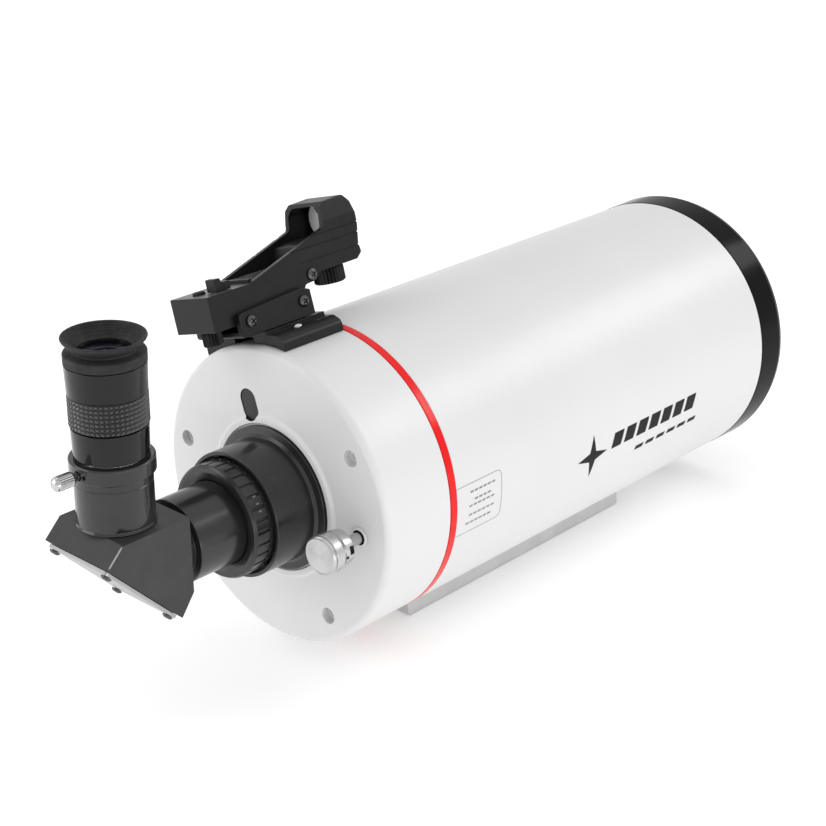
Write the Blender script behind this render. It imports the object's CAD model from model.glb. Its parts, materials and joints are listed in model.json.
import json
import math

import bmesh
import bpy
from mathutils import Matrix, Vector


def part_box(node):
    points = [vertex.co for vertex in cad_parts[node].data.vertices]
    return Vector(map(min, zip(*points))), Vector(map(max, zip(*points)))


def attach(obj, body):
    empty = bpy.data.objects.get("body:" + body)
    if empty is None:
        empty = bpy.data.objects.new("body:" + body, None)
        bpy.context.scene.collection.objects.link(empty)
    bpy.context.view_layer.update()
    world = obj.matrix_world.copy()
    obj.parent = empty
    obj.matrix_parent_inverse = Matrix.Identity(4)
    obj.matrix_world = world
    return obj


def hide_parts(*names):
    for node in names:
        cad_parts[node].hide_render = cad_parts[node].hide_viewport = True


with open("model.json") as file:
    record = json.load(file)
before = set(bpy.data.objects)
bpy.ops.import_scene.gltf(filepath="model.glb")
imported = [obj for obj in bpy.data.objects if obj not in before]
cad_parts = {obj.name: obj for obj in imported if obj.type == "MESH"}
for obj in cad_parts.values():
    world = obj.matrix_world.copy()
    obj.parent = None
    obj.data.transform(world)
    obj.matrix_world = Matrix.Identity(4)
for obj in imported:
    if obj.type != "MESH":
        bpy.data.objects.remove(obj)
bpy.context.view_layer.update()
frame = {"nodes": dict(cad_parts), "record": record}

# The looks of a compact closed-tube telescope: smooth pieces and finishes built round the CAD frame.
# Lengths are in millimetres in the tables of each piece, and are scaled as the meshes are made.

MM = 0.001
ARC_STEP = math.radians(16)
ROUND_STEPS = 160
SHARP = math.radians(34)

# Offsets along the tube, counted from the rear face of the rear cell.
CELL_LENGTH = 43.2
TUBE_START = 48.2
TUBE_R = 76.0
TUBE_INNER_R = 73.0
SLEEVE_R = 72.7
COLLIMATION_R = 63.3
COLLIMATION_ANGLES = (168.8, 34.9, -55.9)
SLOT_ANGLE = 109.0
SLOT_SPAN = (38.6, 54.8)
SLOT_HALF = 5.3
SET_SCREW_ANGLE = 10.0
FINDER_ROLL = math.radians(16.2)
FINDER_HALF = 13.7
DECK_V = 104.6
DECK_TOP = 107.5

# The camera's place and aim in metres, and its lens in millimetres.
CAMERA_AT = (0.5895, -0.7078, 0.4784)
CAMERA_AIM = (-0.0377, -0.0220, 0.0772)
CAMERA_LENS = 79.93

node_body = {n: b for b, ns in frame["record"]["behaviour"]["bodies"].items() for n in ns}
tube_low, tube_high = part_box("main_tube")
REAR_FACE = tube_low.y - TUBE_START * MM
AXIS_X = (tube_low.x + tube_high.x) / 2
AXIS_Z = (tube_low.z + tube_high.z) / 2


# ---- frames

def frame_of(origin, x_axis, y_axis, z_axis):
    made = Matrix.Identity(4)
    for column, axis in enumerate((x_axis, y_axis, z_axis)):
        for row in range(3):
            made[row][column] = axis[row]
    made.translation = origin
    return made


def along(direction, origin):
    """A frame whose local Z is the direction."""
    z_axis = Vector(direction).normalized()
    side = Vector((1, 0, 0)) if abs(z_axis.x) < 0.9 else Vector((0, 1, 0))
    x_axis = (side - z_axis * side.dot(z_axis)).normalized()
    return frame_of(Vector(origin), x_axis, z_axis.cross(x_axis), z_axis)


def tube_at(x, y, z):
    return Vector((AXIS_X + x * MM, REAR_FACE + y * MM, AXIS_Z + z * MM))


E_ACROSS = Vector((math.cos(FINDER_ROLL), 0.0, math.sin(FINDER_ROLL)))
E_OUT = Vector((-math.sin(FINDER_ROLL), 0.0, math.cos(FINDER_ROLL)))
SKYWARD = Vector((0, 1, 0))
PLAIN = frame_of(tube_at(0, 0, 0), Vector((1, 0, 0)), SKYWARD, Vector((0, 0, 1)))
FINDER = frame_of(tube_at(0, 0, 0), E_ACROSS, SKYWARD, E_OUT)
OPTICAL = along(SKYWARD, tube_at(0, 0, 0))


def node_frame(node, direction):
    """A frame on a CAD node's own middle line along the direction, from its low end, and its length."""
    turned_to = along(direction, (0, 0, 0)).to_3x3()
    local = [turned_to.transposed() @ v.co for v in frame["nodes"][node].data.vertices]
    low = [min(p[i] for p in local) for i in range(3)]
    high = [max(p[i] for p in local) for i in range(3)]
    start = Vector(((low[0] + high[0]) / 2, (low[1] + high[1]) / 2, low[2]))
    made = turned_to.to_4x4()
    made.translation = turned_to @ start
    return made, (high[2] - low[2]) / MM


# ---- meshes

def rounded(points, closed):
    """Replace each (a, b, radius) corner with an arc. A corner without a radius stays sharp."""
    count = len(points)
    made = []
    for index, point in enumerate(points):
        radius = point[2] if len(point) > 2 else 0.0
        at_end = not closed and index in (0, count - 1)
        here = Vector(point[:2])
        if radius <= 0.0 or at_end:
            made.append(tuple(here))
            continue
        back = Vector(points[index - 1][:2]) - here
        ahead = Vector(points[(index + 1) % count][:2]) - here
        half = back.angle(ahead) / 2
        if half > math.pi / 2 - 0.02:
            made.append(tuple(here))
            continue
        reach = min(radius / math.tan(half), 0.48 * back.length, 0.48 * ahead.length)
        back.normalize()
        ahead.normalize()
        centre = here + (back + ahead).normalized() * (reach / math.cos(half))
        start = here + back * reach - centre
        sweep = start.angle_signed(here + ahead * reach - centre)
        steps = max(2, math.ceil(abs(sweep) / ARC_STEP))
        for step in range(steps + 1):
            turned = Matrix.Rotation(-sweep * step / steps, 2) @ start
            made.append(tuple(centre + turned))
    return made


def to_object(name, bm, place, materials, choose=None):
    bmesh.ops.remove_doubles(bm, verts=bm.verts, dist=1e-4)
    bmesh.ops.recalc_face_normals(bm, faces=bm.faces)
    if choose:
        for face in bm.faces:
            face.material_index = choose(face.calc_center_median())
    bmesh.ops.scale(bm, vec=(MM, MM, MM), verts=bm.verts)
    mesh = bpy.data.meshes.new(name)
    bm.to_mesh(mesh)
    bm.free()
    obj = bpy.data.objects.new(name, mesh)
    bpy.context.scene.collection.objects.link(obj)
    for item in materials:
        mesh.materials.append(item)
    obj.matrix_world = place
    return obj


def smooth(obj):
    obj.data.shade_smooth()
    obj.data.set_sharp_from_angle(angle=SHARP)
    weighted = obj.modifiers.new("normals", "WEIGHTED_NORMAL")
    weighted.keep_sharp = True
    weighted.weight = 80
    return obj


def turned(name, profile, place, materials, steps=ROUND_STEPS, relief=None, choose=None):
    """Spin a profile of (radius, height, corner radius) about local Z. It is a closed ring unless it
    starts on the axis. relief(angle, radius, height) gives the radius where the surface is worked."""
    solid = profile[0][0] == 0.0
    points = rounded(profile, not solid)
    bm = bmesh.new()
    rings = []
    for radius, height in points:
        if radius < 1e-6:
            rings.append([bm.verts.new((0.0, 0.0, height))] * steps)
            continue
        ring = []
        for index in range(steps):
            angle = 2 * math.pi * index / steps
            reach = relief(angle, radius, height) if relief else radius
            ring.append(bm.verts.new((reach * math.cos(angle), reach * math.sin(angle), height)))
        rings.append(ring)
    pairs = list(zip(rings, rings[1:]))
    if not solid:
        pairs.append((rings[-1], rings[0]))
    for low, high in pairs:
        for index in range(steps):
            after = (index + 1) % steps
            corners = [low[index], low[after], high[after], high[index]]
            unique = list(dict.fromkeys(corners))
            if len(unique) > 2:
                bm.faces.new(unique)
    return smooth(to_object(name, bm, place, materials, choose))


def extruded(name, outline, low, high, place, materials, across="X", edge=0.0, segments=3):
    """Push an outline of (a, b, corner radius) from low to high along local X, Y or Z."""
    points = rounded(outline, True)
    put = {
        "X": lambda a, b: (low, a, b),
        "Y": lambda a, b: (a, low, b),
        "Z": lambda a, b: (a, b, low),
    }[across]
    step = {"X": (1, 0, 0), "Y": (0, 1, 0), "Z": (0, 0, 1)}[across]
    bm = bmesh.new()
    face = bm.faces.new([bm.verts.new(put(a, b)) for a, b in points])
    grown = bmesh.ops.extrude_face_region(bm, geom=[face])
    moved = [item for item in grown["geom"] if isinstance(item, bmesh.types.BMVert)]
    bmesh.ops.translate(bm, vec=Vector(step) * (high - low), verts=moved)
    obj = to_object(name, bm, place, materials)
    if edge:
        soften(obj, edge, segments)
    return smooth(obj)


def soften(obj, width, segments=3):
    made = obj.modifiers.new("edges", "BEVEL")
    made.width = width * MM
    made.segments = segments
    made.limit_method = "ANGLE"
    made.angle_limit = math.radians(30)
    made.use_clamp_overlap = True
    return obj


def bake_modifiers(obj):
    graph = bpy.context.evaluated_depsgraph_get()
    graph.update()
    made = bpy.data.meshes.new_from_object(obj.evaluated_get(graph))
    old = obj.data
    obj.modifiers.clear()
    obj.data = made
    bpy.data.meshes.remove(old)
    return obj


def carve(obj, cutters, operation="DIFFERENCE", edge=0.0, segments=2):
    """Apply Boolean cutters, which are then removed, and round the edges that are left."""
    obj.modifiers.clear()
    for cutter in cutters:
        cutter.modifiers.clear()
        made = obj.modifiers.new("cut", "BOOLEAN")
        made.object = cutter
        made.operation = operation
        made.solver = "EXACT"
    bpy.context.view_layer.update()
    bake_modifiers(obj)
    for cutter in cutters:
        bpy.data.objects.remove(cutter)
    if edge:
        soften(obj, edge, segments)
    return smooth(obj)


def pin(radius, low, high, place, steps=48, materials=()):
    return turned("cutter", [(0.0, low), (radius, low), (radius, high), (0.0, high)], place, materials, steps)


def box_outline(a_low, a_high, b_low, b_high, radius=0.0):
    corners = ((a_low, b_low), (a_high, b_low), (a_high, b_high), (a_low, b_high))
    return [(a, b, radius) for a, b in corners]


def moved_frame(place, x, y, z):
    return place @ Matrix.Translation(Vector((x, y, z)) * MM)


def stands_for(obj, *nodes):
    """The piece rides with the first node's body, hides the nodes and takes the first one's finish slot."""
    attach(obj, node_body[nodes[0]])
    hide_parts(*nodes)
    return obj


def spun(name, node, profile, place, shade, steps=ROUND_STEPS):
    """A turned piece of one finish that stands for a node."""
    return stands_for(turned(name, profile, place, [shade], steps), node)


def trim(obj, node):
    """A detail that rides with a node's body and stands for nothing."""
    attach(obj, node_body[node])
    return obj


# ---- materials

class Finish:
    """A Principled material and short ways to add procedural detail in the piece's own coordinates."""

    def __init__(self, name, color, rough, metallic=0.0):
        self.material = bpy.data.materials.new(name)
        self.material.use_nodes = True
        self.tree = self.material.node_tree
        self.shader = self.tree.nodes["Principled BSDF"]
        self.set("Base Color", (*color, 1.0))
        self.set("Roughness", rough)
        self.set("Metallic", metallic)
        self.material.diffuse_color = (*color, 1.0)
        self.height = None

    def set(self, socket, value):
        self.shader.inputs[socket].default_value = value
        return self

    def link(self, source, target):
        self.tree.links.new(source, target)

    def math(self, operation, first, second):
        node = self.tree.nodes.new("ShaderNodeMath")
        node.operation = operation
        for socket, value in zip(node.inputs, (first, second)):
            if isinstance(value, (int, float)):
                socket.default_value = value
            else:
                self.link(value, socket)
        return node.outputs[0]

    def where(self, stretch=(1, 1, 1)):
        coordinates = self.tree.nodes.new("ShaderNodeTexCoord")
        mapping = self.tree.nodes.new("ShaderNodeMapping")
        mapping.inputs["Scale"].default_value = stretch
        self.link(coordinates.outputs["Object"], mapping.inputs["Vector"])
        return mapping.outputs["Vector"]

    def lathe_lines(self):
        """Coordinates that are constant round local Z, so that a texture on them is concentric."""
        parts = self.tree.nodes.new("ShaderNodeSeparateXYZ")
        self.link(self.where(), parts.inputs[0])
        squares = [self.math("MULTIPLY", parts.outputs[i], parts.outputs[i]) for i in (0, 1)]
        radius = self.math("SQRT", self.math("ADD", *squares), 0.0)
        joined = self.tree.nodes.new("ShaderNodeCombineXYZ")
        self.link(radius, joined.inputs[0])
        self.link(parts.outputs[2], joined.inputs[1])
        return joined.outputs[0]

    def noise(self, scale, detail=3.0, vector=None, stretch=(1, 1, 1)):
        node = self.tree.nodes.new("ShaderNodeTexNoise")
        node.inputs["Scale"].default_value = scale
        node.inputs["Detail"].default_value = detail
        self.link(vector or self.where(stretch), node.inputs["Vector"])
        return node.outputs["Fac"]

    def spread(self, value, low, high, from_low=0.3, from_high=0.7):
        node = self.tree.nodes.new("ShaderNodeMapRange")
        numbers = {"From Min": from_low, "From Max": from_high, "To Min": low, "To Max": high}
        for socket, number in numbers.items():
            node.inputs[socket].default_value = number
        self.link(value, node.inputs["Value"])
        return node.outputs["Result"]

    def tint(self, value, first, second):
        node = self.tree.nodes.new("ShaderNodeValToRGB")
        node.color_ramp.elements[0].color = (*first, 1.0)
        node.color_ramp.elements[0].position = 0.35
        node.color_ramp.elements[1].color = (*second, 1.0)
        node.color_ramp.elements[1].position = 0.65
        self.link(value, node.inputs["Fac"])
        self.link(node.outputs["Color"], self.shader.inputs["Base Color"])
        return self

    def rough(self, value, low, high):
        self.link(self.spread(value, low, high), self.shader.inputs["Roughness"])
        return self

    def bump(self, value, depth, strength=1.0):
        """Add relief of the given depth in millimetres over what is already there."""
        node = self.tree.nodes.new("ShaderNodeBump")
        node.inputs["Strength"].default_value = strength
        node.inputs["Distance"].default_value = depth * MM
        self.link(value, node.inputs["Height"])
        if self.height:
            self.link(self.height, node.inputs["Normal"])
        self.height = node.outputs["Normal"]
        self.link(self.height, self.shader.inputs["Normal"])
        return self


def scaled(color, factor):
    return tuple(channel * factor for channel in color)


def enamel(name, color, low, high, coat, peel, gloss=0.5):
    made = Finish(name, color, low)
    made.tint(made.noise(14, 4), scaled(color, 0.975), color)
    made.rough(made.noise(55, 5), low, high)
    made.bump(made.noise(260, 2), peel)
    made.set("Coat Weight", coat).set("Coat Roughness", 0.12).set("Specular IOR Level", gloss)
    return made.material


def painted_black(name, color, low, high, grain, coat=0.0, gloss=0.3):
    made = Finish(name, color, low)
    made.tint(made.noise(90, 5), scaled(color, 0.92), scaled(color, 1.1))
    made.rough(made.noise(140, 5), low, high)
    made.bump(made.noise(2400, 3), grain)
    made.set("Coat Weight", coat).set("Coat Roughness", 0.1).set("Specular IOR Level", gloss)
    return made.material


def turned_metal(name, color, low, high, groove, anisotropic=0.5):
    made = Finish(name, color, low, 1.0)
    lines = made.noise(5200, 4, made.lathe_lines())
    made.tint(made.noise(160, 4), scaled(color, 0.93), color)
    made.rough(lines, low, high)
    made.bump(lines, groove)
    made.set("Anisotropic", anisotropic)
    return made.material


def brushed_metal(name, color, low, high, groove, stretch):
    made = Finish(name, color, low, 1.0)
    lines = made.noise(900, 5, stretch=stretch)
    made.tint(made.noise(60, 4), scaled(color, 0.92), color)
    made.rough(lines, low, high)
    made.bump(lines, groove)
    return made.material


def rubber(name, color):
    made = Finish(name, color, 0.7)
    made.tint(made.noise(120, 5), scaled(color, 0.75), scaled(color, 1.3))
    made.rough(made.noise(300, 4), 0.55, 0.8)
    made.bump(made.noise(1900, 3), 0.03)
    made.set("Specular IOR Level", 0.4)
    return made.material


def glass(name, color, ior, coat_tint):
    made = Finish(name, color, 0.0)
    made.rough(made.noise(45, 6), 0.0, 0.025)
    made.set("Transmission Weight", 1.0).set("IOR", ior)
    made.set("Coat Weight", 0.35).set("Coat Roughness", 0.02).set("Coat Tint", (*coat_tint, 1.0))
    return made.material


def half_silvered():
    """The pale coated pane of the reflex window."""
    made = Finish("half_silvered_pane", (0.8, 0.8, 0.8), 0.1)
    made.tint(made.noise(60, 3), (0.76, 0.76, 0.76), (0.84, 0.84, 0.84))
    made.rough(made.noise(80, 4), 0.04, 0.1)
    made.set("Transmission Weight", 0.06).set("IOR", 1.5)
    made.set("Coat Weight", 0.5).set("Coat Roughness", 0.03)
    return made.material


def make_materials():
    white = (0.66, 0.66, 0.66)
    black = (0.012, 0.012, 0.0125)
    return {
        "white": enamel("white_enamel", white, 0.34, 0.4, 0.05, 0.003),
        "cell": enamel("white_cell_enamel", (0.67, 0.67, 0.67), 0.34, 0.42, 0.08, 0.004),
        "red": enamel("red_enamel", (0.74, 0.002, 0.003), 0.16, 0.24, 0.1, 0.006, 0.2),
        "gloss": painted_black("gloss_black", (0.004, 0.004, 0.0044), 0.06, 0.12, 0.0015, 0.12),
        "ring": painted_black("ring_black", (0.004, 0.004, 0.0044), 0.12, 0.18, 0.0015, 0.0, 0.06),
        "deck": painted_black("deck_black", (0.06, 0.06, 0.061), 0.3, 0.4, 0.01, 0.0, 0.5),
        "grip": painted_black("grip_black", (0.045, 0.045, 0.046), 0.16, 0.26, 0.002, 0.35, 0.4),
        "grey_plug": painted_black("plug_grey", (0.034, 0.034, 0.035), 0.5, 0.64, 0.01),
        "white_screw": enamel("white_screw_enamel", (0.62, 0.62, 0.62), 0.26, 0.36, 0.25, 0.01),
        "satin": painted_black("satin_black", (0.016, 0.016, 0.0165), 0.2, 0.27, 0.0025, 0.0, 0.5),
        "lacquer": painted_black("lacquer_black", (0.018, 0.018, 0.0185), 0.12, 0.18, 0.002, 0.25, 0.4),
        "casting": painted_black("cast_black", (0.036, 0.036, 0.037), 0.38, 0.48, 0.016),
        "plastic": painted_black("moulded_black", (0.009, 0.009, 0.0095), 0.28, 0.4, 0.012, 0.0, 0.22),
        "flat": painted_black("flat_black", black, 0.78, 0.9, 0.03),
        "rubber": rubber("soft_rubber", (0.012, 0.012, 0.0125)),
        "silver": turned_metal("turned_silver", (0.56, 0.56, 0.56), 0.2, 0.34, 0.008, 0.6),
        "chrome": turned_metal("bright_chrome", (0.56, 0.56, 0.57), 0.08, 0.16, 0.002, 0.2),
        "steel": turned_metal("dark_steel", (0.1, 0.1, 0.105), 0.28, 0.42, 0.004, 0.3),
        "bar": brushed_metal("anodised_bar", (0.58, 0.58, 0.58), 0.42, 0.56, 0.004, (6, 0.2, 6)),
        "cover": brushed_metal("brushed_cover", (0.42, 0.42, 0.42), 0.3, 0.44, 0.006, (0.2, 6, 6)),
        "mirror": turned_metal("mirror_coating", (0.92, 0.93, 0.94), 0.01, 0.03, 0.0, 0.0),
        "corrector": glass("corrector_glass", (0.97, 1.0, 0.98), 1.52, (0.86, 0.95, 0.9)),
        "lens": glass("lens_glass", (0.95, 0.97, 1.0), 1.52, (0.6, 0.55, 0.9)),
        "window": half_silvered(),
        "ink": painted_black("print_ink", (0.004, 0.004, 0.004), 0.3, 0.42, 0.001, 0.0, 0.12),
        "worn": painted_black("worn_edge", (0.3, 0.3, 0.3), 0.3, 0.45, 0.01, 0.0, 0.5),
        "pale_ink": painted_black("pale_ink", (0.13, 0.13, 0.13), 0.3, 0.42, 0.001),
        "grey_ink": painted_black("grey_ink", (0.24, 0.24, 0.24), 0.34, 0.44, 0.001),
    }


# ---- tube

def pill(centre_r, half_length, radius, degrees, steps=14):
    """A pill outline as (x, z) points round a centre at that radius, its long side pointing outward."""
    angle = math.radians(degrees)
    out = Vector((math.cos(angle), math.sin(angle)))
    side = Vector((-out.y, out.x))
    points = []
    for way in (1, -1):
        for step in range(steps + 1):
            turn = math.pi * step / steps - math.pi / 2
            reach = out * (half_length + radius * math.cos(turn)) * way
            points.append(tuple(out * centre_r + reach + side * (radius * math.sin(turn) * way)))
    return points


def build_rear_cell(mats):
    profile = [
        (17.3, 0.0, 0.2), (37.2, 0.0, 0.4), (37.7, -1.3, 0.5), (40.4, -1.3, 0.9), (41.6, 0.0, 1.6),
        (TUBE_R, 0.0, 3.2), (TUBE_R, CELL_LENGTH, 0.25), (SLEEVE_R, CELL_LENGTH, 0.1),
        (SLEEVE_R, 56.0, 0.3), (70.4, 56.0, 0.3), (70.4, 5.0, 1.0), (17.3, 5.0, 0.2),
    ]
    paints = [mats["cell"], mats["flat"]]
    cell = turned("rear_cell_casting", profile, OPTICAL, paints, 224)
    cutters = []
    for degrees in COLLIMATION_ANGLES:
        angle = math.radians(degrees)
        at = tube_at(COLLIMATION_R * math.cos(angle), 0, COLLIMATION_R * math.sin(angle))
        mouth = [
            (0.0, -2.0), (4.4, -2.0), (4.4, -0.1), (4.1, 0.2, 0.1), (4.1, 4.1, 0.3), (2.3, 4.1), (2.3, 9.0),
            (0.0, 9.0),
        ]
        cutters.append(turned("cutter", mouth, along(SKYWARD, at), (), 48))
    middle = sum(SLOT_SPAN) / 2
    half_length = (SLOT_SPAN[1] - SLOT_SPAN[0]) / 2 - SLOT_HALF
    outline = pill(middle, half_length, SLOT_HALF, SLOT_ANGLE)
    cutters.append(extruded("cutter", outline, -3.0, 9.0, PLAIN, (), "Y"))
    shaft_at, _ = node_frame("focus_shaft", SKYWARD)
    shaft_at.translation.y = REAR_FACE
    cutters.append(pin(4.2, -3.0, 9.0, shaft_at))
    carve(cell, cutters)
    blacken_inside(cell)
    stands_for(cell, "rear_cell")
    slot_fill = pill(middle, half_length, SLOT_HALF - 0.15, SLOT_ANGLE)
    trim(extruded("slot_plug", slot_fill, 0.35, 4.4, PLAIN, [mats["grey_plug"]], "Y", edge=0.3), "rear_cell")


def blacken_inside(cell):
    """The casting is black inside, and through the slot."""
    angle = math.radians(SLOT_ANGLE)
    slot_middle = sum(SLOT_SPAN) / 2
    for face in cell.data.polygons:
        x, y, z = (c / MM for c in face.center)
        to_slot = math.hypot(x - slot_middle * math.cos(angle), -y - slot_middle * math.sin(angle))
        in_slot = to_slot < 8.4 and 0.05 < z < 5.0
        face.material_index = 1 if z > 4.9 and math.hypot(x, y) < SLEEVE_R - 0.1 or in_slot else 0


def build_tube(mats):
    def inner(point):
        return 1 if math.hypot(point.x, point.y) < TUBE_INNER_R + 0.6 else 0

    red = [
        (TUBE_INNER_R, 43.5), (TUBE_R + 0.15, 43.5, 0.2), (TUBE_R + 0.15, 47.9, 0.2), (TUBE_INNER_R, 47.9),
    ]
    spun("red_trim_band", "red_trim_ring", red, OPTICAL, mats["red"], 256)
    tube = [
        (TUBE_INNER_R, TUBE_START), (TUBE_R, TUBE_START, 0.25), (TUBE_R, 313.6, 0.25), (TUBE_INNER_R, 313.6),
    ]
    body = turned("tube_shell", tube, OPTICAL, [mats["white"], mats["flat"]], 256, choose=inner)
    stands_for(body, "main_tube")
    front = [
        (76.2, 313.9, 0.2), (76.6, 331.2, 1.2), (75.5, 334.8, 1.4), (70.6, 334.8, 0.4), (66.3, 333.0, 0.3),
        (66.3, 320.1, 0.1), (62.5, 320.1, 0.1), (69.6, 300.0, 0.2), (72.7, 300.0, 0.2), (72.7, 313.9, 0.1),
    ]
    spun("front_cell_ring", "front_cell", front, OPTICAL, mats["ring"], 256)


def curve(inner_r, outer_r, vertex, curve_r, count=18):
    """Points along a spherical surface, from the inner radius outward."""
    radii = [inner_r + (outer_r - inner_r) * step / count for step in range(count + 1)]
    return [(r, vertex + curve_r - math.sqrt(curve_r**2 - r**2)) for r in radii]


def build_optics(mats):
    rear = curve(0.0, 66.0, 308.5, 178.0)
    front = curve(0.0, 66.0, 318.5, 170.0)
    spun("corrector_glass", "corrector_lens", rear + front[::-1], OPTICAL, mats["corrector"])
    top = front[-1][1] + 0.3
    ring = [(62.6, top, 0.2), (66.0, top, 0.2), (66.0, top + 1.7, 0.3), (63.4, top + 1.7, 0.4)]
    spun("corrector_lock_ring", "corrector_retainer", ring, OPTICAL, mats["flat"])
    spot = curve(0.0, 18.0, 307.2, 178.0, 8)
    face = [(r, h + 0.9) for r, h in spot]
    spun("secondary_spot", "secondary_mirror", spot + face[::-1], OPTICAL, mats["mirror"], 96)
    rim = curve(0.0, 19.4, 308.5, 178.0, 1)[-1][1] - 0.3
    hood = [(19.0, 286.0, 0.2), (20.2, 286.0, 0.3), (23.8, rim - 0.2, 0.2), (19.4, rim - 0.4, 0.2)]
    spun("secondary_hood", "secondary_baffle", hood, OPTICAL, mats["flat"], 96)
    baffle = [
        (17.2, 5.3, 0.2), (28.0, 5.3, 0.2), (28.0, 8.4, 0.4), (20.1, 8.4, 0.8), (20.1, 165.0, 0.3),
        (18.6, 165.0, 0.3),
    ]
    spun("baffle_pipe", "baffle_tube", baffle, OPTICAL, mats["flat"], 96)
    mirror = curve(23.8, 64.0, 40.33, 560.0, 10)
    mirror += [(64.0, 30.0, 0.5), (23.8, 30.0, 0.5)]
    spun("primary_glass", "primary_mirror", mirror, OPTICAL, mats["mirror"])
    nut = mirror[0][1] + 0.7
    lock = [(23.7, nut, 0.2), (29.0, nut, 0.3), (29.0, nut + 2.4, 0.6), (23.7, nut + 3.4, 0.4)]
    spun("mirror_lock_ring", "mirror_retainer", lock, OPTICAL, mats["flat"], 96)
    hub = [
        (20.4, 14.0, 0.3), (26.0, 14.0, 0.4), (26.0, 18.0, 0.6), (63.0, 18.0, 0.6), (63.0, 21.6, 0.6),
        (34.0, 21.6, 0.4), (34.0, 29.7, 0.2), (23.4, 29.7, 0.2), (23.4, 51.6, 0.4), (20.4, 51.6, 0.3),
    ]
    carrier = turned("mirror_carrier_plate", hub, OPTICAL, [mats["steel"]])
    at, _ = node_frame("focus_shaft", SKYWARD)
    at.translation.y = REAR_FACE
    carve(carrier, [pin(3.2, 15.0, 25.0, at)])
    stands_for(carrier, "mirror_carrier")


# ---- visual back, diagonal

def build_visual_back(mats):
    profile = [
        (15.0, 3.0, 0.2), (17.0, 3.0, 0.2), (17.0, -0.3, 0.1), (36.65, -0.3, 0.2), (36.65, -2.1, 0.35),
        (32.9, -2.5, 0.5), (31.5, -3.7, 0.5), (31.5, -27.2, 0.45), (29.6, -27.2, 0.3), (29.6, -20.4, 0.3),
        (15.0, -20.4, 0.3),
    ]
    spun("visual_back_flange", "visual_back", profile, OPTICAL, mats["satin"])

    ribs = 30

    def ribbed(angle, radius, height):
        if radius < 27.0 or not -36.6 < height < -28.2:
            return radius
        phase = (angle * ribs / (2 * math.pi)) % 1.0
        groove = max(0.0, 1.0 - abs(phase - 0.5) / 0.13)
        return radius - 0.8 * min(1.0, groove * 1.8)

    rib_low, rib_high = -36.4, -28.4
    ring = [
        (21.0, -21.5, 0.3), (28.3, -21.5, 0.4), (28.3, -28.1, 0.2), (28.3, rib_high), (28.3, -30.4),
        (28.3, -34.4), (28.3, rib_low), (28.3, -36.8, 0.15), (27.9, -37.1, 0.1), (28.1, -37.4, 0.15),
        (27.2, -38.4, 0.35), (25.2, -38.4, 0.4), (21.0, -36.9, 0.4),
    ]
    collar = turned("coupling_collar", ring, OPTICAL, [mats["satin"]], ribs * 16, relief=ribbed)
    stands_for(collar, "coupling_ring")
    nose = [
        (14.0, -20.8, 0.2), (20.7, -20.8, 0.4), (20.7, -64.7, 0.6), (17.0, -65.0, 0.3), (17.0, -74.8, 0.3),
        (14.0, -74.8, 0.3),
    ]

    def bore(point):
        return 1 if math.hypot(point.x, point.y) < 14.5 else 0

    barrel = turned("nose_barrel", nose, OPTICAL, [mats["satin"], mats["flat"]], choose=bore)
    stands_for(barrel, "nose_tube")


def build_collar_marks(mats):
    """Three short worn dashes printed on the coupling collar."""
    for index, degrees in enumerate((41.0, 33.5, 26.0)):
        angle = math.radians(degrees)
        out = Vector((math.cos(angle), 0, math.sin(angle)))
        at = tube_at(28.33 * out.x, -32.4, 28.33 * out.z)
        side = SKYWARD.cross(out)
        place = frame_of(at, side, SKYWARD, out)
        mark = extruded("collar_mark_%d" % index, box_outline(-0.5, 0.35, -0.9, 1.0, 0.3), -0.04, 0.04, place,
                        [mats["pale_ink"]], "Z")
        trim(mark, "coupling_ring")


DIAGONAL = [(-72.0, 22.8), (-109.7, 22.8), (-118.7, 13.9), (-79.2, -25.4), (-71.6, -15.0)]
DIAGONAL_HALF = 22.2
WORN_R = 0.42


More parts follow.
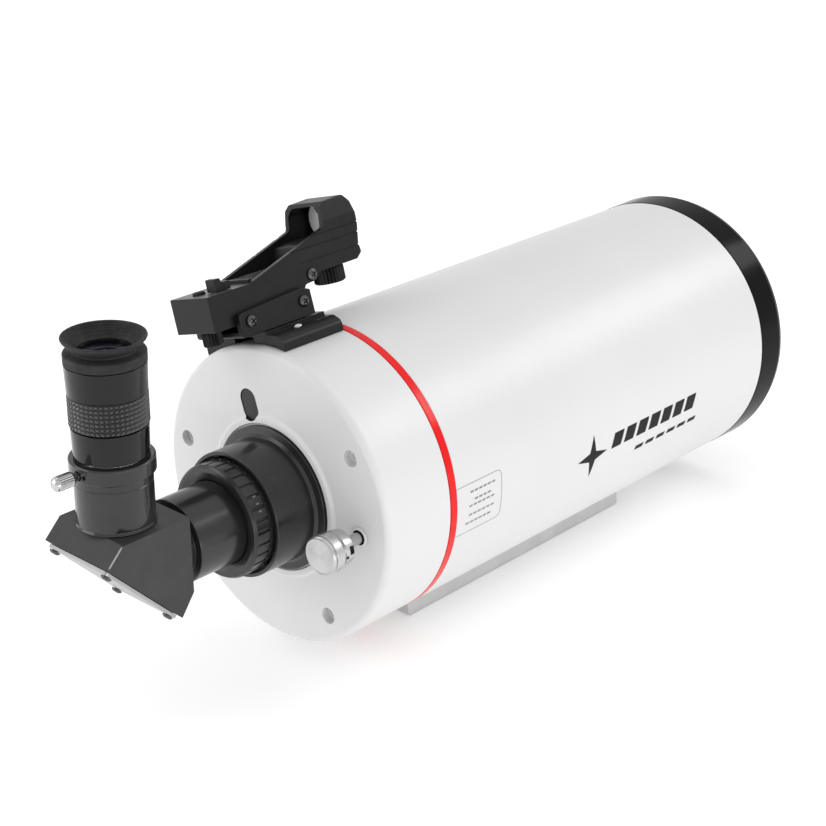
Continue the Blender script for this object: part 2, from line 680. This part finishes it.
def build_diagonal(mats):
    housing = extruded("diagonal_body", DIAGONAL, -DIAGONAL_HALF, DIAGONAL_HALF, PLAIN, [mats["casting"]])
    eye, _ = node_frame("eyepiece_holder", (0, 0, 1))
    eye_y = (eye.translation.y - REAR_FACE) / MM
    cavity = [(-76.1, 18.7), (-108.9, 18.7), (-124.0, 3.6), (-92.4, -30.0), (-79.3, -16.9), (-76.1, -13.9)]
    cutters = [
        extruded("cutter", cavity, -15.3, 15.3, PLAIN, ()),
        pin(17.3, -76.2, -66.0, OPTICAL, 64),
        pin(15.2, 18.6, 30.0, along((0, 0, 1), tube_at(0, eye_y, 0)), 64),
    ]
    carve(housing, cutters, edge=0.6, segments=3)
    stands_for(housing, "diagonal_housing")
    prism = [(-76.4, 18.4), (-108.6, 18.4), (-111.0, 16.0), (-79.0, -16.0), (-76.4, -13.6)]
    stands_for(extruded("diagonal_glass", prism, -15, 15, PLAIN, [mats["lens"]], edge=0.3), "diagonal_prism")
    top, foot = (tube_at(DIAGONAL_HALF - WORN_R, *DIAGONAL[index]) for index in (1, 2))
    ridge = along(foot - top, top)
    length = (foot - top).length / MM
    wear = [
        (0.0, 0.5), (0.3, 0.8, 0.1), (WORN_R, 2.0, 0.3), (WORN_R, length - 1.6, 0.3), (0.0, length - 0.6),
    ]
    trim(turned("diagonal_worn_ridge", wear, ridge, [mats["worn"]], 16), "diagonal_housing")
    outward = Vector((0, -1, -1)).normalized()
    plate_at, thickness = node_frame("cover_plate", outward)
    outline = box_outline(-20.2, 20.2, -26.6, 26.6, 1.6)
    plate = extruded("cover_sheet", outline, 0.0, thickness, plate_at, [mats["cover"]], "Z", edge=0.25)
    holes = []
    for index in range(4):
        node = "cover_screw_%d" % index
        place, _ = node_frame(node, outward)
        holes.append(pin(1.6, -1.0, 8.0, place, 24))
        screw(mats["steel"], node, outward, 2.6, 1.4)
    carve(plate, holes, edge=0.2)
    stands_for(plate, "cover_plate")


def screw(shade, node, direction, head_r, head_h, shank_r=1.4, cross=True, sunk=0.0):
    """A domed screw on the node's own middle line, with a cross or a six-sided recess."""
    place, length = node_frame(node, direction)
    length -= sunk
    seat = length - head_h
    profile = [
        (0.0, 0.0), (shank_r, 0.0, 0.2), (shank_r, seat), (head_r, seat, 0.2),
        (head_r, seat + head_h * 0.45, head_h * 0.5), (head_r * 0.6, length - 0.03, 0.4), (0.0, length),
    ]
    made = turned(node + "_head", profile, place, [shade], 40)
    size = head_r * 0.58
    depth = length - head_h * 0.62
    cutters = []
    if cross:
        for turn in (0.0, math.pi / 2):
            bar = extruded("cutter", box_outline(-size, size, -size * 0.2, size * 0.2, size * 0.08), depth,
                           length + 1.0, place @ Matrix.Rotation(turn + 0.5, 4, "Z"), (), "Z")
            cutters.append(bar)
    else:
        cutters.append(turned("cutter", [(0.0, depth), (size, depth), (size, length + 1), (0.0, length + 1)],
                              place, (), 6))
    carve(made, cutters)
    return stands_for(made, node)


# ---- eyepiece

def build_holder(mats):
    eye, _ = node_frame("eyepiece_holder", (0, 0, 1))
    eye.translation.z = AXIS_Z
    holder = [
        (16.15, 23.1, 0.2), (18.3, 23.1, 0.3), (17.7, 24.5, 0.8), (17.7, 43.6), (17.55, 43.8), (17.55, 44.2),
        (17.7, 44.4), (17.7, 47.2, 0.5), (19.3, 48.0, 0.8), (19.3, 55.2, 0.9), (16.15, 55.2, 0.5),
    ]
    made = turned("eyepiece_socket", holder, eye, [mats["lacquer"]])
    thumb, length = node_frame("clamp_thumbscrew", (0, -1, 0))
    beside = thumb @ Matrix.Translation(Vector((3.9, 0.0, 0.0)) * MM)
    carve(made, [pin(2.35, -2.0, 8.0, thumb, 32), pin(1.0, 1.4, 8.0, beside, 24)])
    stands_for(made, "eyepiece_holder")

    def knurled(angle, radius, height):
        if radius < 2.9 or not 6.9 < height < length - 2.2:
            return radius
        return radius - 0.16 * (1 + math.cos(angle * 22))

    profile = [
        (0.0, 0.0), (2.0, 0.0, 0.2), (2.0, 4.2), (2.2, 4.8, 0.3), (3.1, 6.2, 0.4), (3.45, 6.9), (3.45, 7.2),
        (3.45, length - 2.5), (3.45, length - 2.2), (3.1, length - 1.9, 0.3), (3.0, length - 0.9, 1.2),
        (1.6, length - 0.1, 1.2), (0.0, length),
    ]
    knob = turned("holder_thumbscrew", profile, thumb, [mats["chrome"]], 176, relief=knurled)
    stands_for(knob, "clamp_thumbscrew")
    return eye


def build_eyepiece(mats, eye):
    barrel = [(14.4, 25.0, 0.3), (15.85, 25.0, 0.4), (15.85, 55.7, 0.2), (14.4, 55.7, 0.2)]
    spun("eyepiece_chrome_barrel", "eyepiece_barrel", barrel, eye, mats["chrome"])
    body = [
        (12.4, 56.0, 0.2), (16.9, 56.0, 0.5), (17.3, 69.9, 0.35), (16.2, 70.1, 0.1), (16.2, 85.3, 0.1),
        (17.7, 85.4, 0.35), (18.15, 99.0, 0.3), (16.4, 99.0, 0.1), (16.4, 103.9, 0.2), (12.4, 103.9, 0.2),
    ]
    spun("eyepiece_tube_body", "eyepiece_body", body, eye, mats["gloss"])
    stands_for(build_grip(mats, eye), "eyepiece_grip")
    funnel = []
    ridges = 5
    for index in range(ridges):
        share = index / ridges
        radius = 18.1 + (13.6 - 18.1) * share
        height = 110.6 + (105.8 - 110.6) * share
        funnel.append((radius, height, 0.12))
        funnel.append((radius - 0.55, height - 0.12, 0.12))
    cup = [
        (16.7, 99.3, 0.2), (18.2, 99.3, 0.3), (18.2, 103.6, 0.8), (16.0, 104.4, 0.3), (14.9, 104.9, 0.2),
        (14.9, 105.7, 0.2), (15.9, 106.6, 0.4),
        (18.4, 109.3, 0.6), (18.8, 110.2, 0.4), (18.6, 110.8, 0.2),
    ]
    cup += funnel + [(13.3, 105.6, 0.4), (12.0, 104.2, 0.2), (16.7, 104.2)]
    spun("rubber_eyecup", "eyecup", cup, eye, mats["rubber"])
    lens = [(0.0, 100.6), (12.1, 100.6, 0.1), (12.1, 102.4, 0.2), (8.0, 103.4, 6.0), (0.0, 103.8)]
    spun("eye_lens_glass", "eye_lens", lens, eye, mats["lens"], 96)
    field = [(0.0, 45.0), (8.0, 45.4, 6.0), (14.1, 46.6, 0.2), (14.1, 49.6, 0.2), (0.0, 49.6)]
    spun("field_lens_glass", "field_lens", field, eye, mats["lens"], 96)


def build_grip(mats, eye):
    """A sleeve of small blunt pyramids."""
    columns, rows = 48, 7
    low, high = 70.4, 85.0
    base_r, top_r, inner_r = 16.8, 17.75, 16.45
    share = 0.16
    bm = bmesh.new()
    pitch = (high - low) / rows
    turn = 2 * math.pi / columns

    def point(radius, column, row):
        angle = turn * column
        return bm.verts.new((radius * math.cos(angle), radius * math.sin(angle), low + pitch * row))

    for column in range(columns):
        for row in range(rows):
            base = [(column + a, row + b) for a, b in ((0, 0), (1, 0), (1, 1), (0, 1))]
            corners = ((-1, -1), (1, -1), (1, 1), (-1, 1))
            top = [(column + 0.5 + a * share, row + 0.5 + b * share) for a, b in corners]
            feet = [point(base_r, *corner) for corner in base]
            caps = [point(top_r, *corner) for corner in top]
            bm.faces.new(caps)
            for index in range(4):
                after = (index + 1) % 4
                bm.faces.new((feet[index], feet[after], caps[after], caps[index]))
        for row, way in ((0, 1), (rows, -1)):
            rim = [point(base_r, column, row), point(base_r, column + 1, row)]
            lip = [point(inner_r, column + 1, row), point(inner_r, column, row)]
            bm.faces.new((rim + lip)[::way])
        bm.faces.new([point(inner_r, column, 0), point(inner_r, column + 1, 0),
                      point(inner_r, column + 1, rows), point(inner_r, column, rows)])
    made = to_object("grip_sleeve", bm, eye, [mats["grip"]])
    made.data.shade_flat()
    return made


# ---- focuser

def build_focuser(mats):
    place, _ = node_frame("focus_shaft", SKYWARD)
    place.translation.y = REAR_FACE
    bush = [
        (3.7, -1.2, 0.05), (4.9, -1.2, 0.3), (4.9, -0.3, 0.1), (3.9, -0.3), (3.9, 11.0, 0.3),
        (3.2, 11.0, 0.2), (3.2, 1.4), (3.7, 1.2),
    ]

    def mouth(point):
        return 1 if math.hypot(point.x, point.y) < 3.8 else 0

    bushing = turned("focus_bush", bush, place, [mats["cell"], mats["flat"]], 64, choose=mouth)
    stands_for(bushing, "focus_bushing")
    shaft = [(0.0, -16.0), (2.9, -16.0, 0.3), (2.9, 24.8, 0.5), (0.0, 24.8)]
    spun("focus_spindle", "focus_shaft", shaft, place, mats["silver"], 64)
    hub = [
        (0.0, -16.4), (3.2, -16.4), (3.2, -11.2, 0.1), (5.6, -11.2, 0.3), (8.7, -12.5, 0.9),
        (8.9, -17.6, 0.2), (8.1, -17.8, 0.1), (8.1, -18.2, 0.1), (8.5, -18.6), (0.0, -18.6),
    ]
    made = turned("focus_hub_drum", hub, place, [mats["silver"]], 96)
    screw_angle = math.radians(SET_SCREW_ANGLE)
    outward = (math.cos(screw_angle), 0, math.sin(screw_angle))
    grub, _ = node_frame("focus_set_screw", outward)
    pip_angle = math.radians(SET_SCREW_ANGLE - 18.0)
    pip = along((math.cos(pip_angle), 0, math.sin(pip_angle)), place.translation - SKYWARD * 17.0 * MM)
    slot = box_outline(-2.1, 2.1, -1.3, 1.3, 0.5)
    window = frame_of(grub.translation, SKYWARD.cross(Vector(outward)), SKYWARD, Vector(outward))
    carve(made, [
        pin(1.3, 0.0, 12.0, grub, 24),
        extruded("cutter", slot, 2.6, 12.0, window, (), "Z"),
        pin(0.8, 7.9, 12.0, pip, 20),
    ], edge=0.12)
    stands_for(made, "focus_hub")
    lining = box_outline(-1.9, 1.9, -1.1, 1.1, 0.4)
    liner = extruded("hub_slot_liner", lining, 2.62, 3.1, window, [mats["flat"]], "Z", edge=0.1)
    carve(liner, [pin(1.15, 0.0, 12.0, grub, 24)])
    trim(liner, "focus_hub")
    pip_liner = turned("hub_pip_liner", [(0.0, 7.92), (0.78, 7.92, 0.1), (0.78, 8.3, 0.1), (0.0, 8.2)], pip,
                       [mats["flat"]], 24)
    trim(pip_liner, "focus_hub")
    stub = [(0.0, 0.0), (1.0, 0.0), (1.0, 3.2, 0.1), (0.5, 3.2), (0.5, 2.4), (0.0, 2.4)]
    spun("hub_grub_screw", "focus_set_screw", stub, grub, mats["steel"], 24)
    knob = [
        (0.0, -18.9), (8.8, -18.9, 0.3), (9.7, -19.7, 0.5), (9.7, -24.3, 0.2), (9.0, -24.5, 0.1),
        (9.0, -25.0, 0.1), (9.6, -25.2, 0.2), (9.5, -26.2, 0.5), (8.7, -27.0, 0.4), (8.2, -26.8, 0.3),
        (0.0, -26.4),
    ]
    spun("focus_knob_cap", "focus_knob", knob, place, mats["silver"], 128)


def build_collimation(mats):
    for label in ("a", "b", "c"):
        node = "collimation_screw_" + label
        screw(mats["white_screw"], node, (0, -1, 0), 2.5, 0.8, 2.0, cross=False, sunk=2.4)


# ---- dovetail bar

def build_dovetail(mats):
    low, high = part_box("dovetail_bar")
    rear, front = (low.y - REAR_FACE) / MM, (high.y - REAR_FACE) / MM
    foot = (low.z - AXIS_Z) / MM
    half_foot, half_top = 22.0, 19.6
    outline = [
        (-half_foot + 0.8, foot, 0.4), (half_foot - 0.8, foot, 0.4), (half_foot, foot + 1.2, 0.5),
        (half_top, -68.0), (-half_top, -68.0), (-half_foot, foot + 1.2, 0.5),
    ]
    bar = extruded("dovetail_rail", outline, rear, front, PLAIN, [mats["bar"]], "Y")
    cutters = [pin(TUBE_R + 0.3, rear - 9, front + 9, OPTICAL, 192)]
    for end, way in ((rear, 1.0), (front, -1.0)):
        corner = [(end + way * a, foot + b - 1.0) for a, b in ((-2.0, -2.0), (5.0, -2.0), (-2.0, 5.0))]
        cutters.append(extruded("cutter", corner, -30.0, 30.0, PLAIN, ()))
    for index in range(2):
        place, _ = node_frame("dovetail_bolt_%d" % index, (0, 0, 1))
        place.translation.z = AXIS_Z + foot * MM
        cutters.append(pin(2.8, -2.0, 20.0, place, 32))
        cutters.append(pin(5.4, -2.0, 6.4, place, 48))
        screw(mats["steel"], "dovetail_bolt_%d" % index, (0, 0, -1), 5.0, 5.1, 2.4, cross=False)
    carve(bar, cutters, edge=0.25)
    stands_for(bar, "dovetail_bar")


# ---- finder

def build_finder_mount(mats):
    left, right, step_half = -29.4, 27.8, 16.8
    outline = [
        (left, 66.0), (right, 66.0), (right, 76.2, 3.6), (23.4, 79.0, 5.0), (step_half, 79.2, 0.2),
        (step_half, 81.0, 0.3), (-step_half, 81.0, 0.3), (-step_half, 79.2, 0.2), (-24.0, 79.0, 6.0),
        (left, 76.4, 2.6),
    ]
    base = extruded("finder_saddle", outline, 4.0, CELL_LENGTH - 0.4, FINDER, [mats["plastic"]], "Y")
    cutters = [
        pin(TUBE_R + 0.3, -5.0, 55.0, OPTICAL, 192),
        extruded("cutter", box_outline(-7.0, 7.0, 70.0, 78.8, 0.6), 2.0, 14.0, FINDER, (), "Y"),
    ]
    for index in range(2):
        place, length = node_frame("base_screw_%d" % index, E_OUT)
        cutters.append(pin(1.8, -9.0, length, place, 24))
        cutters.append(pin(3.05, length - 1.9, length + 6.0, place, 48))
        screw(mats["chrome"], "base_screw_%d" % index, E_OUT, 2.6, 1.6, 1.5)
    carve(base, cutters, edge=0.5, segments=3)
    stands_for(base, "finder_base")
    plate = [(-9.9, 81.4, 1.6), (37.3, 81.4, 0.5), (36.9, 93.6, 0.6), (32.0, 95.4, 0.8), (-9.9, 92.9, 1.8)]
    bracket = extruded("finder_cradle", plate, -17.0, 17.0, FINDER, [mats["plastic"]])
    inner = FINDER_HALF + 0.3
    cutters = [extruded("cutter", box_outline(-inner, inner, 84.4, 99.0), -60, 60, FINDER, (), "Y")]
    for index in range(2):
        place, _ = node_frame("clamp_screw_%d" % index, E_ACROSS)
        cutters.append(pin(1.8, -2.0, 12.0, place, 24))
        screw(mats["steel"], "clamp_screw_%d" % index, E_ACROSS, 2.9, 1.7, 1.5)
    carve(bracket, cutters, edge=0.35)
    stands_for(bracket, "finder_bracket")


def body_outline():
    underside = [
        (-23.0, 87.6, 0.5), (35.5, 87.6, 0.8), (37.6, 95.6, 2.0), (45.0, 96.0, 3.0), (48.4, 99.4, 2.0),
        (75.0, 99.6, 1.0), (78.6, 102.4, 1.2),
    ]
    nose = [
        (77.8, 107.0, 2.0), (79.9, 117.0, 3.0), (79.9, 122.0, 3.0), (78.4, 128.3, 3.0), (74.7, 132.2, 2.4),
    ]
    back = [
        (61.0, 131.6, 1.6), (58.2, 129.0, 1.6), (57.0, 119.4, 2.0), (4.0, DECK_V, 0.8), (-23.0, DECK_V, 0.5),
    ]
    return underside + nose + back


def build_finder_body(mats):
    half, wall = FINDER_HALF, 2.6
    body = extruded("finder_case", body_outline(), -half, half, FINDER, [mats["plastic"], mats["deck"]])
    envelope = [
        (-half, 80.0), (half, 80.0), (half, 122.5, 3.0), (half - 1.5, 132.3, 1.2), (1.5 - half, 132.3, 1.2),
        (-half, 122.5, 3.0),
    ]
    shape = extruded("cutter", envelope, -60.0, 120.0, FINDER, (), "Y")
    carve(body, [shape], "INTERSECT")
    inner = half - wall
    trough = [
        (4.6, 104.9), (40.0, 105.2, 2.0), (44.5, 113.6, 2.0), (58.0, 114.9), (58.0, 121.0), (4.6, 121.0),
    ]
    arch = [
        (-inner, 114.9, 0.8), (inner, 114.9, 0.8), (inner, 126.0, 1.2), (inner - 3.2, 129.9, 1.2),
        (3.2 - inner, 129.9, 1.2), (-inner, 126.0, 1.2),
    ]
    window, _ = node_frame("finder_window", SKYWARD)
    cutters = [
        extruded("cutter", trough, -inner, inner, FINDER, ()),
        extruded("cutter", arch, 52.0, 70.2, FINDER, (), "Y"),
        pin(10.0, -2.0, 2.4, window, 64),
        pin(8.9, 0.0, 13.0, window, 64),
    ]
    for low_y, height in ((33.0, 112.6), (46.0, 117.4), (38.0, 106.2)):
        groove = box_outline(low_y, 90.0, height - 0.45, height + 0.45, 0.2)
        for side in (half, -half):
            cutters.append(extruded("cutter", groove, side - 0.5, side + 0.5, FINDER, ()))
    for node, clearance in (("clamp_screw_0", 1.9), ("clamp_screw_1", 2.75), ("case_screw", 1.9)):
        place, _ = node_frame(node, E_ACROSS)
        cutters.append(pin(clearance, -1.0, 14.0, place, 24))
    for node in ("elevation_knob", "azimuth_knob"):
        place, length = node_frame(node, E_OUT)
        cutters.append(pin(2.2, 2.0, length + 0.4, place, 24))
    button, _ = node_frame("power_button", E_OUT)
    cutters.append(pin(3.3, -1.0, 6.0, button, 32))
    carve(body, cutters, edge=0.35, segments=3)
    for face in body.data.polygons:
        face.material_index = 1 if face.normal.z > 0.9 and face.center.z < DECK_TOP * MM else 0
    stands_for(body, "finder_body")
    build_trough_ribs(mats, inner)


def build_trough_ribs(mats, inner):
    """Shallow parallel ribs on the trough's floor, and a low bridge behind the emitter."""
    count = 7
    for index in range(count):
        across = (index - (count - 1) / 2) * 2.9
        section = box_outline(across - 0.45, across + 0.45, 104.7, 105.6, 0.25)
        name = "trough_rib_%d" % index
        rib = extruded(name, section, 9.0, 37.5, FINDER, [mats["lacquer"]], "Y", edge=0.15)
        trim(rib, "finder_body")
    bridge = box_outline(5.4, 7.6, 104.6, 106.4, 0.4)
    trim(extruded("trough_bridge", bridge, -inner, inner, FINDER, [mats["plastic"]], edge=0.2), "finder_body")


def build_finder_trim(mats):
    window, _ = node_frame("finder_window", SKYWARD)
    pane = [(0.0, 0.0), (9.7, 0.0, 0.2), (9.7, 2.0, 0.2), (0.0, 2.0)]
    spun("sight_window", "finder_window", pane, window, mats["window"], 96)
    screw(mats["steel"], "case_screw", E_ACROSS, 3.0, 1.2, 1.4)
    button, length = node_frame("power_button", E_OUT)
    cap = [(0.0, 0.0), (3.0, 0.0, 0.2), (3.0, length - 0.3, 0.5), (2.5, length, 0.4), (0.0, length - 0.25)]
    spun("switch_cap", "power_button", cap, button, mats["rubber"], 48)
    tower = [(-4.6, 0.0), (4.6, 0.0), (4.6, 3.6, 0.4), (-0.4, 4.0, 0.4), (-1.0, 6.0, 0.5), (-4.6, 6.0, 0.5)]
    emitter_at = moved_frame(FINDER, 5.9, -8.5, DECK_V + 0.3)
    made = extruded("emitter_block", tower, -3.2, 3.2, emitter_at, [mats["plastic"]], edge=0.3)
    made_hole = pin(1.1, 2.0, 9.0, along(SKYWARD, emitter_at @ (Vector((0, 0, 2.4)) * MM)), 24)
    carve(made, [made_hole], edge=0.2)
    stands_for(made, "emitter_housing")
    for node, radius, count in (("elevation_knob", 8.0, 28), ("azimuth_knob", 4.9, 20)):
        build_finder_knob(mats, node, radius, count)


def build_finder_knob(mats, node, radius, count):
    place, length = node_frame(node, E_OUT)
    height = {"elevation_knob": 8.3, "azimuth_knob": 7.2}[node]

    def fluted(angle, reach, at):
        if reach < radius - 0.9 or not 0.6 < at < height - 0.5:
            return reach
        return reach - 0.35 * (1 + math.cos(angle * count))

    profile = [
        (0.0, 0.0), (radius - 1.0, 0.0, 0.6), (radius, 0.8, 0.3), (radius, height - 0.7, 0.3),
        (radius - 0.9, height, 0.4), (1.9, height), (1.9, length), (0.0, length),
    ]
    made = turned(node + "_wheel", profile, place, [mats["plastic"]], count * 8, relief=fluted)
    stands_for(made, node)


# ---- printed marks

def wrapped(name, outlines, centre_deg, start_y, radius, material, node, ink=0.05):
    """Lay flat outlines of (arc, y) in mm on the tube as thin ink, and bend it round the tube."""
    bm = bmesh.new()
    for outline in outlines:
        face = bm.faces.new([bm.verts.new((a, b, 0.0)) for a, b in rounded(outline, True)])
        grown = bmesh.ops.extrude_face_region(bm, geom=[face])
        moved = [item for item in grown["geom"] if isinstance(item, bmesh.types.BMVert)]
        bmesh.ops.translate(bm, vec=(0, 0, ink), verts=moved)
    arcs = [v.co.x for v in bm.verts]
    cut = math.ceil(min(arcs))
    while cut < max(arcs):
        geometry = list(bm.verts) + list(bm.edges) + list(bm.faces)
        bmesh.ops.bisect_plane(bm, geom=geometry, plane_co=(cut, 0, 0), plane_no=(1, 0, 0))
        cut += 2
    for vert in bm.verts:
        angle = math.radians(centre_deg) + vert.co.x / radius
        reach = radius + 0.02 + vert.co.z
        vert.co = Vector((reach * math.cos(angle), start_y + vert.co.y, reach * math.sin(angle)))
    made = to_object(name, bm, PLAIN, [material])
    return trim(made, node)


def star_outline(reach, waist, points=4):
    made = []
    for index in range(points * 2):
        angle = math.pi * index / points
        radius = waist if index % 2 else reach
        made.append((radius * math.cos(angle), radius * math.sin(angle)))
    return made


def slanted_dashes(centre_a, start_b, count, length, gap, height, slant):
    made = []
    low, high = centre_a - height / 2, centre_a + height / 2
    for index in range(count):
        at = start_b + index * (length + gap)
        far = at + slant
        made.append([(low, at, 0.4), (high, far, 0.4), (high, far + length, 0.4), (low, at + length, 0.4)])
    return made


def build_marks(mats):
    """A plain star, two rows of plain dashes and a ruled blank panel, all generic."""
    star = [star_outline(12.5, 3.6)]
    wrapped("tube_star", star, -6.0, 155.0, TUBE_R, mats["ink"], "main_tube")
    rows = slanted_dashes(0.0, 0.0, 7, 8.4, 2.6, 8.6, 2.4)
    wrapped("tube_dashes", rows, -3.5, 171.0, TUBE_R, mats["ink"], "main_tube")
    fine = slanted_dashes(0.0, 0.0, 6, 7.2, 2.6, 2.4, 1.0)
    wrapped("tube_fine_dashes", fine, -12.6, 194.0, TUBE_R, mats["ink"], "main_tube")
    width, length, line = 26.0, 32.5, 0.3
    half = width / 2
    outer = [(-half, 0.0), (half, 0.0), (half, length, 3.0), (-half, length, 3.0)]
    panel = [
        box_outline(half - line, half, 0.0, length - 2.6), box_outline(-half, line - half, 0.0, length - 2.6),
        box_outline(2.6 - half, half - 2.6, length - line, length),
    ]
    corners = rounded(outer, True)
    inside = rounded([(-half + line, 0.0), (half - line, 0.0), (half - line, length - line, 2.7),
                      (-half + line, length - line, 2.7)], True)
    for side in (1, -1):
        rim = [c for c in corners if c[0] * side > half - 3.01 and c[1] > length - 3.01]
        lip = [c for c in inside if c[0] * side > half - 3.01 and c[1] > length - 3.01]
        panel.append(rim + lip[::-1])
    for across, start, count in ((8.4, 9.0, 6), (4.0, 12.0, 4), (1.2, 8.0, 6), (-3.6, 8.0, 6), (-7.8, 6.0, 6)):
        panel += slanted_dashes(across, start, count, 2.5, 0.7, 1.0, 0.2)
    wrapped("tube_panel", panel, -1.5, TUBE_START + 0.4, TUBE_R, mats["grey_ink"], "main_tube")


# ---- studio

def build_stage():
    floor = Finish("pale_floor", (0.93, 0.93, 0.93), 0.6)
    floor.rough(floor.noise(3, 3), 0.55, 0.7)
    floor.set("Emission Color", (1.0, 1.0, 1.0, 1.0)).set("Emission Strength", 0.22)
    bm = bmesh.new()
    bmesh.ops.create_circle(bm, cap_ends=True, segments=96, radius=9.0 / MM)
    plane = to_object("studio_floor", bm, Matrix.Translation((0, 0, -0.0004)), [floor.material])
    world = bpy.data.worlds.new("studio")
    world.use_nodes = True
    world.node_tree.nodes["Background"].inputs["Color"].default_value = (1.0, 1.0, 1.0, 1.0)
    world.node_tree.nodes["Background"].inputs["Strength"].default_value = 0.8
    bpy.context.scene.world = world


def softbox(name, location, target, width, height, power):
    data = bpy.data.lights.new(name, "AREA")
    data.shape = "RECTANGLE"
    data.size = width
    data.size_y = height
    data.energy = power
    lamp = bpy.data.objects.new(name, data)
    bpy.context.scene.collection.objects.link(lamp)
    lamp.location = location
    lamp.rotation_euler = (Vector(target) - Vector(location)).to_track_quat("-Z", "Y").to_euler()


def build_lights():
    aim = (0.0, 0.0, 0.09)
    softbox("overhead", (0.1, 0.3, 2.0), aim, 3.0, 3.0, 5.0)
    softbox("front_right_box", (1.4, -0.3, 0.06), aim, 1.8, 0.12, 5.0)
    softbox("front_left_box", (-0.9, -1.6, 0.45), aim, 1.2, 0.9, 7.0)
    softbox("strip", (-0.9, -0.7, 1.1), aim, 1.3, 0.3, 3.0)
    softbox("back_box", (0.75, 1.25, 1.1), aim, 0.9, 0.5, 6.0)


def build_camera():
    data = bpy.data.cameras.new("camera")
    data.sensor_width = 36.0
    data.lens = CAMERA_LENS
    camera = bpy.data.objects.new("camera", data)
    bpy.context.scene.collection.objects.link(camera)
    camera.location = CAMERA_AT
    camera.rotation_euler = (Vector(CAMERA_AIM) - camera.location).to_track_quat("-Z", "Y").to_euler()
    bpy.context.scene.camera = camera
    bpy.context.scene.view_settings.view_transform = "Standard"


build_camera()
build_stage()
build_lights()
mats = make_materials()
build_rear_cell(mats)
build_tube(mats)
build_optics(mats)
build_visual_back(mats)
build_collar_marks(mats)
build_diagonal(mats)
build_eyepiece(mats, build_holder(mats))
build_focuser(mats)
build_collimation(mats)
build_dovetail(mats)
build_finder_mount(mats)
build_finder_body(mats)
build_finder_trim(mats)
build_marks(mats)
